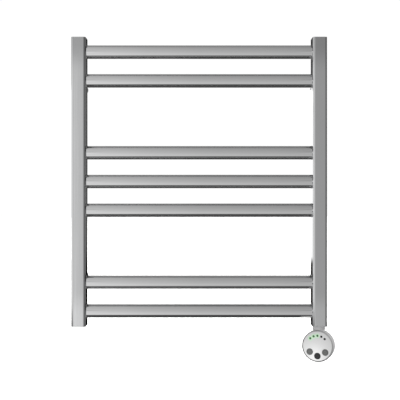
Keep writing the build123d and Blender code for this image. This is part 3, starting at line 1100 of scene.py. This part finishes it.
@dataclass
class ControlHead(SubAssembly):
    """Swivelling control head with printed button marks and a ribbed cable gland."""

    mark_height: float = 0.06 * MM
    mark_bury: float = 0.02 * MM
    mark_line: float = 0.75 * MM
    mark_gain: float = 2.0              # how much lighter the ink is than its button
    second_gain: float = 2.4
    mark_roughness: float = 0.5
    steps: int = 48
    wave_radius: float = 2.6 * MM
    wave_half_angle: float = 38.0
    wave_places: tuple[float, ...] = (-4.4 * MM, -2.6 * MM, -0.8 * MM)
    power_radius: float = 2.3 * MM
    power_arc: tuple[float, float] = (125.0, 415.0)
    power_stroke: tuple[float, float] = (0.6 * MM, 3.1 * MM)
    clock_radius: float = 2.5 * MM
    clock_hand: float = 1.5 * MM
    clock_short: tuple[float, float] = (0.35 * MM, 1.3 * MM)
    rib_count: int = 18
    rib_height: float = 0.45 * MM
    rib_width: float = 0.9 * MM
    rib_bury: float = 0.3 * MM
    rib_sink: float = 0.02 * MM
    rib_radius: float = 6.9 * MM        # of the dome that the ribs stand on
    rib_start: float = 7.6 * MM         # before the end of the gland
    rib_end: float = 2.9 * MM           # before the end of the gland
    rib_stations: tuple[float, ...] = (0.0, 0.12, 0.25, 0.5, 0.75, 0.88, 1.0)
    rib_arc_steps: int = 6

    def __post_init__(self) -> None:
        """Finds the head's own directions from the way its buttons travel."""
        self.inward = self.kit.joint_axis("centre_press")
        self.up = Vector((0, 0, 1))
        self.right = self.inward.cross(self.up).normalized()

    def heads(self) -> tuple[str, ...]:
        """First words of the names of its nodes."""
        return ("head_", "circuit_board", "relay", "terminal_block", "cable_gland", "gland_nut", "button_",
                "switch_", "lamp_", "board_screw")

    def front_of(self, name: str) -> Matrix:
        """Place on the front of a node, with Z towards the room, X right and Y up.

        Args:
            name: A node that is round about the direction its front looks in.

        Returns:
            The matrix of that place.
        """
        across = sum(self.kit.reach(name, self.right)) / 2
        height = sum(self.kit.reach(name, self.up)) / 2
        front = self.kit.reach(name, self.inward)[0]
        origin = self.right * across + self.up * height + self.inward * front
        facing = Matrix((self.right, self.up, -self.inward)).transposed().to_4x4()
        return Matrix.Translation(origin) @ facing

    def arc(self, place: Matrix, radius: float, start: float, end: float) -> Stroke:
        """Printed line along an arc about a place.

        Args:
            place: Centre of the arc, with Z out of the surface.
            radius: Radius of the line's middle.
            start: First angle in degrees, from X.
            end: Last angle in degrees.

        Returns:
            Loops of the line, and whether it closes on itself.
        """
        whole = end - start >= 360
        half = self.mark_line / 2
        section = ((radius - half, -self.mark_bury), (radius + half, -self.mark_bury),
                   (radius + half, self.mark_height), (radius - half, self.mark_height))
        loops = []
        for step in range(self.steps + (0 if whole else 1)):
            angle = math.radians(start + (end - start) * step / self.steps)
            loops.append([place @ Vector((r * math.cos(angle), r * math.sin(angle), h)) for r, h in section])
        return loops, whole

    def line(self, place: Matrix, start: tuple[float, float], end: tuple[float, float]) -> Stroke:
        """Printed straight line between two points of a place's plane.

        Args:
            place: Origin of the plane, with Z out of the surface.
            start: First point.
            end: Last point.

        Returns:
            Loops of the line, and False, since it has two ends.
        """
        first, last = Vector((*start, 0)), Vector((*end, 0))
        side = (last - first).normalized().cross(Vector((0, 0, 1))) * self.mark_line / 2
        low, high = Vector((0, 0, -self.mark_bury)), Vector((0, 0, self.mark_height))
        loops = []
        for step in range(5):
            at = first.lerp(last, step / 4)
            loops.append([place @ (at - side + low), place @ (at + side + low),
                          place @ (at + side + high), place @ (at - side + high)])
        return loops, False

    def print_mark(self, button: str, body: Body, strokes: Iterable[Stroke]) -> None:
        """Makes the mark of one button from its strokes.

        Args:
            button: Name of the button's node.
            body: Body of the button.
            strokes: Loops of each stroke and whether it closes.
        """
        def fill(form: bmesh.types.BMesh) -> None:
            """Skins every stroke."""
            for loops, closed in strokes:
                loft(form, loops, closed)

        slot = self.kit.slots[button]
        plastic = self.kit.palette.table[slot]
        colour, second = (tuple(channel * gain for channel in plastic.colour)
                          for gain in (self.mark_gain, self.second_gain))
        ink = replace(plastic, name="ink_on_" + slot.value, colour=colour, second=second,
                      roughness=self.mark_roughness)
        self.kit.add(mesh_object(button.replace("button", "mark"), fill), slot, body, ink)

    def marks(self) -> None:
        """Prints heat on the left button, power on the middle one and a clock on the right one."""
        left = self.front_of("button_left")
        waves = [self.arc(left @ Matrix.Translation((x, 0, 0)), self.wave_radius, -self.wave_half_angle,
                          self.wave_half_angle) for x in self.wave_places]
        self.print_mark("button_left", Body.LEFT, waves)
        centre = self.front_of("button_centre")
        foot, top = self.power_stroke
        power = [self.arc(centre, self.power_radius, *self.power_arc), self.line(centre, (0, foot), (0, top))]
        self.print_mark("button_centre", Body.CENTRE, power)
        right = self.front_of("button_right")
        near, far = self.clock_short
        clock = [self.arc(right, self.clock_radius, 0, 360), self.line(right, (0, 0), (0, self.clock_hand)),
                 self.line(right, (near, 0), (far, 0))]
        self.print_mark("button_right", Body.RIGHT, clock)

    def ribs(self) -> None:
        """Grip ribs round the dome of the cable gland."""
        across = sum(self.kit.reach("cable_gland", self.right)) / 2
        height = sum(self.kit.reach("cable_gland", self.up)) / 2
        back = self.kit.reach("cable_gland", self.inward)[1]
        start, end = back - self.rib_start, back - self.rib_end
        origin = self.right * across + self.up * height
        matrix = place_axis(origin + self.inward * start, self.inward)
        radius, length, half = self.rib_radius, end - start, self.rib_width / 2
        angles = [math.pi * step / self.rib_arc_steps for step in range(self.rib_arc_steps + 1)]

        def fill(form: bmesh.types.BMesh) -> None:
            """Skins each rib with rounded ends."""
            for number in range(self.rib_count):
                turned = matrix @ Matrix.Rotation(2 * math.pi * number / self.rib_count, 4, "Z")
                loops = []
                for share in self.rib_stations:
                    top = radius + self.rib_height * math.sqrt(max(0.0, 1 - (2 * share - 1) ** 4))
                    ring = [(radius - self.rib_bury, -half)]
                    ring += [(radius + (top - radius) * math.sin(angle) - self.rib_sink,
                              -half * math.cos(angle)) for angle in angles]
                    ring.append((radius - self.rib_bury, half))
                    loops.append([turned @ Vector((r, side, length * share)) for r, side in ring])
                loft(form, loops, closed=False)

        self.kit.add(mesh_object("gland_ribs", fill), Slot.GLAND, Body.HEAD)

    def build(self) -> None:
        """Adds the marks and the ribs."""
        self.marks()
        self.ribs()

    def lit_lamps(self) -> tuple[Place, ...]:
        """Points on the face in front of each lit lamp."""
        lit = [name for name in self.kit.named(("lamp_",)) if self.kit.slots[name] is Slot.LAMP_GREEN]
        return tuple(tuple(self.front_of(name).translation) for name in lit)

    def finish_of(self, name: str) -> Finish:
        """Painted light of the lit lamps on the face, painted shade on the rim, and the slot's own finish
        elsewhere.

        Args:
            name: Name of the node.

        Returns:
            The finish.
        """
        own = super().finish_of(name)
        if name == "head_face":
            return replace(own, name="silver_face", lamps=self.lit_lamps())
        if name == "head_bezel":
            # the rim gets painted shade at its lower left
            low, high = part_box(name)
            return PaintedShadeTrim(**{**asdict(own), "name": "painted_shade_trim", "edge_share": 0.0,
                                    "centre": tuple((low + high) / 2)})
        return own


@dataclass
class Studio:
    """White room, soft lights and camera.

    Stops are (place, tone) pairs and a Step is (from, to, result at from, result at to). Their places are
    the X, Y or Z of a direction away from the object, and so run from -1 to 1.
    """

    field_width: float = 0.8265         # seen at the front of the rack
    distance: float = 1.87              # from the front of the rack to the lens
    sensor: float = 36.0
    floor_drop: float = 0.25            # below the lowest point of the object
    floor_radius: float = 30.0
    floor_thick: float = 0.02
    floor_steps: int = 96
    camera_right: float = 1.8 * MM
    camera_below: float = 37.6 * MM
    paper: float = 1.02                 # backdrop that the camera sees
    front_across: Stops = ((-1, 1.95), (-0.74, 1.95), (-0.6, 1.25), (-0.28, 1.15), (-0.14, 1.335),
                           (-0.088, 1.215), (-0.055, 1.12), (0, 1.0), (0.056, 0.94), (0.089, 0.9),
                           (0.13, 0.83), (0.5, 0.6), (1, 0.35))
    front_high: Stops = ((-1, 0.07), (-0.94, 0.07), (-0.92, 0.35), (-0.895, 0.6), (-0.64, 0.60),
                         (-0.375, 0.56), (-0.09, 0.517), (0.2, 0.49), (0.49, 0.46), (0.73, 0.43),
                         (0.92, 0.41), (0.975, 0.39), (1, 0.31))
    side_across: Stops = ((-1, 0.92), (-0.6, 0.92), (-0.1, 0.5), (0.1, 0.3), (0.6, 0.13), (1, 0.13))
    side_high: Stops = ((-1, 0.12), (-0.3, 0.12), (-0.14, 0.2), (-0.115, 1.0), (0.13, 1.0), (0.18, 0.62),
                        (1, 0.5))
    side_even: float = 0.9              # tone of the right wall, which has no bands
    side_turn: Step = (-0.2, 0.2, 0.0, 1.0)
    back_across: Stops = ((-1, 1.0), (-0.3, 1.1), (0, 0.95), (0.3, 0.95), (1, 1.3))
    back_high: Stops = ((-1, 0.075), (-0.6, 0.09), (-0.35, 0.06), (-0.25, 0.006), (-0.075, 0.006),
                        (-0.045, 0.1), (0.12, 0.1), (0.175, 0.03), (0.3, 0.12), (0.6, 0.28),
                        (0.72, 0.285), (0.95, 0.29), (1, 0.31))
    back_share: float = 0.6             # of the front's tone, at the outer parts of the back
    back_outer: Step = (0.25, 0.5, 0.0, 1.0)
    window_side: Step = (0.0, -0.03, 0.0, 1.0)
    window_sill: Step = (-0.070, -0.062, 0.0, 1.0)
    window_top: Step = (0.118, 0.128, 1.0, 0.0)
    window_tone: Step = (-0.07, 0.13, 1.1, 1.35)
    to_back: Step = (-0.12, 0.3, 0.0, 1.0)
    to_side: Step = (0.72, 0.95, 0.0, 1.0)
    second_bounce: Step = (1.0, 2.0, 0.0, 0.85)     # how much a second mirror bounce loses
    second_high: Step = (0.0, 0.3, 0.0, 1.0)
    lights_aside: Step = (0.10, 0.125, 0.0, 1.0)
    lights_near: Step = (0.25, 0.4, 1.0, 0.0)
    lights_far: Step = (-0.3, -0.5, 0.0, 1.0)
    lights_high: Step = (0.2, 0.35, 1.0, 0.0)
    hood: Step = (0.137, 0.168, 0.0, -0.27)
    sill: Step = (-0.100, -0.122, 0.0, 0.24)
    foot: Step = (-0.105, -0.145, 0.0, -0.85)
    strip_edge: Step = (-0.126, -0.13, 0.0, -0.05)
    strip: Step = (-0.13, -0.1385, 0.0, 0.22)
    strip_end: Step = (-0.16, -0.25, 1.0, 0.0)
    strip_slant: float = 0.77
    strip_top: Step = (0.047, 0.040, 0.0, 1.0)
    fill_side: Step = (-1.0, 1.0, 1.03, 1.0)
    fill_high: Step = (-0.8, 0.1, 0.45, 1.0)
    key_aim: Place = (-14 * MM, 0.0, -20 * MM)      # from the middle of the bezel
    key_back: Place = (-6 * MM, -38 * MM, -4 * MM)  # from its aim
    key_size: float = 20 * MM
    key_power: float = 0.013
    sun_power: float = 4.5
    sun_angle: float = 40.0

    def build(self) -> None:
        """Sets the world, the floor, the lights and the camera."""
        scene = bpy.context.scene
        scene.view_settings.view_transform = "Standard"
        scene.view_settings.look = "None"
        self.world(scene)
        self.lamps(self.floor())
        self.camera(scene)

    def ramp(self, sheet: Sheet, value: object, stops: Stops) -> object:
        """Looks a value from -1 to 1 up in a table of grey tones.

        Args:
            sheet: Tree to add to.
            value: The value to look up.
            stops: (value, linear tone) pairs in rising order.

        Returns:
            The tone.
        """
        curve = sheet.add("ShaderNodeFloatCurve")
        line = curve.mapping.curves[0]
        curve.mapping.clip_max_y = 4.0
        curve.mapping.extend = "HORIZONTAL"
        while len(line.points) < len(stops):
            line.points.new(0.5, 0.5)
        for point, (at, tone) in zip(line.points, stops):
            point.location = ((at + 1) / 2, tone)
            point.handle_type = "VECTOR"
        curve.mapping.update()
        sheet.feed(curve, Factor=1.0, Value=sheet.span(value, -1.0, 1.0, 0.0, 1.0))
        return curve.outputs[0]

    def world(self, scene: bpy.types.Scene) -> None:
        """Paper-white backdrop for the camera, soft fill for matt surfaces and grey walls for mirrors.

        Args:
            scene: The scene to light.
        """
        world = bpy.data.worlds.new("studio")
        scene.world = world
        world.use_nodes = True
        sheet = Sheet(world.node_tree)
        parts = sheet.add("ShaderNodeSeparateXYZ")
        sheet.put(parts.inputs[0], sheet.add("ShaderNodeTexCoord").outputs["Generated"])
        path = sheet.add("ShaderNodeLightPath")
        again = sheet.span(path.outputs["Glossy Depth"], *self.second_bounce)
        upward = sheet.span(parts.outputs["Z"], *self.second_high, smooth=True)
        kept = sheet.math("SUBTRACT", 1.0, sheet.math("MULTIPLY", again, upward))
        mirror = sheet.math("MULTIPLY", self.walls(sheet, parts), kept)
        lit = self.glow(sheet, self.fill(sheet, parts))
        glossy = self.either(sheet, path.outputs["Is Glossy Ray"], lit, self.glow(sheet, mirror))
        seen = self.either(sheet, path.outputs["Is Camera Ray"], glossy, self.glow(sheet, self.paper))
        output = sheet.add("ShaderNodeOutputWorld")
        sheet.put(output.inputs["Surface"], seen)

    def glow(self, sheet: Sheet, strength: object) -> bpy.types.NodeSocket:
        """Adds a white background of some strength and returns its output.

        Args:
            sheet: Tree to add to.
            strength: Its strength.

        Returns:
            The background's output.
        """
        node = sheet.add("ShaderNodeBackground")
        sheet.feed(node, Color=(1.0, 1.0, 1.0, 1.0), Strength=strength)
        return node.outputs[0]

    def either(self, sheet: Sheet, share: object, one: object, other: object) -> bpy.types.NodeSocket:
        """Goes from one background to the other as the share rises from 0 to 1.

        Args:
            sheet: Tree to add to.
            share: Share of the other, from 0 to 1.
            one: What a share of 0 gives.
            other: What a share of 1 gives.

        Returns:
            The mixed background.
        """
        node = sheet.add("ShaderNodeMixShader")
        for socket, source in zip(node.inputs, (share, one, other)):
            sheet.put(socket, source)
        return node.outputs[0]

    def walls(self, sheet: Sheet, parts: bpy.types.Node) -> object:
        """Grey walls that mirrors see: the front, the two sides and the back with its window.

        Args:
            sheet: The world's tree.
            parts: Separate XYZ node of the direction.

        Returns:
            The tone of the walls.
        """
        across, deep, high = parts.outputs
        front_high = self.ramp(sheet, high, self.front_high)
        front = sheet.math("MULTIPLY", self.ramp(sheet, across, self.front_across), front_high)
        front = sheet.math("MULTIPLY", front, self.local_tones(sheet, across, high))
        back = sheet.math("MULTIPLY", self.ramp(sheet, across, self.back_across),
                          self.ramp(sheet, high, self.back_high))
        outer = sheet.span(sheet.math("ABSOLUTE", across), *self.back_outer, smooth=True)
        back = self.blend(sheet, back, sheet.math("MULTIPLY", front_high, self.back_share), outer)
        back = sheet.math("MAXIMUM", back, self.window(sheet, across, high))
        walls = self.blend(sheet, front, back, sheet.span(deep, *self.to_back, smooth=True))
        bands = self.blend(sheet, self.ramp(sheet, high, self.side_high), self.side_even,
                           sheet.span(across, *self.side_turn))
        sides = sheet.math("MULTIPLY", self.ramp(sheet, across, self.side_across), bands)
        beside = sheet.span(sheet.math("ABSOLUTE", across), *self.to_side, smooth=True)
        return self.blend(sheet, walls, sides, beside)

    def window(self, sheet: Sheet, across: object, high: object) -> object:
        """Bright window on the left of the back wall.

        Args:
            sheet: The world's tree.
            across: X of the direction.
            high: Z of the direction.

        Returns:
            The tone of the window, and 0 outside it.
        """
        side = sheet.span(across, *self.window_side, smooth=True)
        sill, top = sheet.span(high, *self.window_sill), sheet.span(high, *self.window_top)
        opening = sheet.math("MULTIPLY", side, sheet.math("MULTIPLY", sill, top))
        return sheet.math("MULTIPLY", opening, sheet.span(high, *self.window_tone))

    def blend(self, sheet: Sheet, one: object, other: object, share: object) -> object:
        """Goes from one value to another as the share rises from 0 to 1."""
        return sheet.math("MULTIPLY_ADD", sheet.math("SUBTRACT", other, one), share, one)

    def local_tones(self, sheet: Sheet, across: object, high: object) -> object:
        """Edges of the soft lights in front.

        The hood is dimmer above and the sill brighter just below. The strip is a bright slanting edge on
        the left, and the foot a dark one low on the far left.

        Args:
            sheet: The world's tree.
            across: X of the direction.
            high: Z of the direction.

        Returns:
            A factor on the tone of the front.
        """
        wide = sheet.math("ABSOLUTE", across)
        aside = sheet.span(wide, *self.lights_aside, smooth=True)
        near = sheet.math("MULTIPLY", aside, sheet.span(wide, *self.lights_near, smooth=True))
        far_left = sheet.span(across, *self.lights_far, smooth=True)
        hood = sheet.math("MULTIPLY", sheet.span(high, *self.hood, smooth=True), aside)
        sill = sheet.math("MULTIPLY", sheet.span(high, *self.sill, smooth=True), near)
        foot = sheet.math("MULTIPLY", sheet.span(high, *self.foot, smooth=True), far_left)
        strip = sheet.math("ADD", sheet.span(across, *self.strip_edge), sheet.span(across, *self.strip))
        strip = sheet.math("MULTIPLY", strip, sheet.span(across, *self.strip_end))
        slant = sheet.math("MULTIPLY_ADD", across, self.strip_slant, high)
        strip = sheet.math("MULTIPLY", strip, sheet.span(slant, *self.strip_top))
        change = sheet.math("ADD", sheet.math("ADD", hood, strip), sheet.math("ADD", sill, foot))
        ends = sheet.span(sheet.math("ABSOLUTE", high), *self.lights_high, smooth=True)
        return sheet.math("MULTIPLY_ADD", change, ends, 1.0)

    def fill(self, sheet: Sheet, parts: bpy.types.Node) -> object:
        """Strength of the soft light on matt surfaces: least from below, and a little more from the left.

        Args:
            sheet: The world's tree.
            parts: Separate XYZ node of the direction.

        Returns:
            The strength.
        """
        side = sheet.span(parts.outputs["X"], *self.fill_side)
        return sheet.math("MULTIPLY", side, sheet.span(parts.outputs["Z"], *self.fill_high))

    def floor(self) -> bpy.types.Object:
        """Builds the wide pale floor under the rail and returns it.

        Returns:
            The floor.
        """
        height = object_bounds()[0].z - self.floor_drop
        rim = ((self.floor_radius, -self.floor_thick), (self.floor_radius, 0.0))
        rings = turn(Matrix.Translation((0, 0, height)), rim, self.floor_steps)
        floor = mesh_object("floor", lambda form: loft(form, rings, closed=False))
        finish = Finish("pale_floor", (0.88, 0.88, 0.875), (0.85, 0.85, 0.845), roughness=0.7,
                        marked_roughness=0.8, marks_scale=2.0, grain_scale=60.0, edge_radius=1 * MM,
                        edge_share=0.0)
        floor.data.materials.append(finish.material())
        floor.visible_glossy = False
        floor.visible_diffuse = False
        floor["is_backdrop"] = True
        return floor

    def hang(self, data: bpy.types.Light, place: Vector, aim: Vector) -> bpy.types.Object:
        """Puts a light that no surface mirrors in place and turns it to its aim.

        Args:
            data: The light's data.
            place: Where it hangs.
            aim: Where it points.

        Returns:
            The light.
        """
        thing = bpy.data.objects.new(data.name, data)
        thing.location = place
        thing.rotation_mode = "QUATERNION"
        thing.rotation_quaternion = (aim - place).to_track_quat("-Z", "Y")
        thing.visible_glossy = False
        thing.visible_camera = False
        bpy.context.scene.collection.objects.link(thing)
        return thing

    def lamps(self, floor: bpy.types.Object) -> None:
        """Small key light near the control head, and an even light for the floor alone.

        Args:
            floor: The floor.
        """
        low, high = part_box("head_bezel")
        aim = (low + high) / 2 + Vector(self.key_aim)
        key = bpy.data.lights.new("key_light", "AREA")
        key.shape = "SQUARE"
        key.size = self.key_size
        key.energy = self.key_power
        self.hang(key, aim + Vector(self.key_back), aim)
        data = bpy.data.lights.new("floor_light", "SUN")
        data.energy = self.sun_power
        data.angle = math.radians(self.sun_angle)
        sun = self.hang(data, Vector((0, 0, 2)), Vector((0, 0, 0)))
        only = bpy.data.collections.new("floor_only")
        only.objects.link(floor)
        sun.light_linking.receiver_collection = only

    def camera(self, scene: bpy.types.Scene) -> None:
        """Level camera in front of the rail.

        Args:
            scene: The scene.
        """
        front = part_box("upright_left")[0].y
        data = bpy.data.cameras.new("camera")
        data.sensor_width = self.sensor
        data.lens = self.sensor * self.distance / self.field_width
        camera = bpy.data.objects.new("camera", data)
        camera.location = (self.camera_right, front - self.distance, -self.camera_below)
        camera.rotation_euler = (math.radians(90), 0.0, 0.0)
        scene.collection.objects.link(camera)
        scene.camera = camera


def main() -> None:
    """Builds the looks round the frame, one sub-assembly after another."""
    logging.basicConfig(level=logging.INFO, format="%(name)s: %(message)s")
    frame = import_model()
    kit = Kit(frame, Palette(finishes()))
    dressed: list[str] = []
    for kind in (LadderRack, EndFittings, WallBrackets, ElementFitting, ControlHead):
        part = kind(kit)
        dressed += part.dress()
        part.build()
    if sorted(dressed) != sorted(frame["nodes"]):
        raise ValueError("some node is dressed twice or not at all")
    Studio().build()


if __name__ == "__main__":
    main()
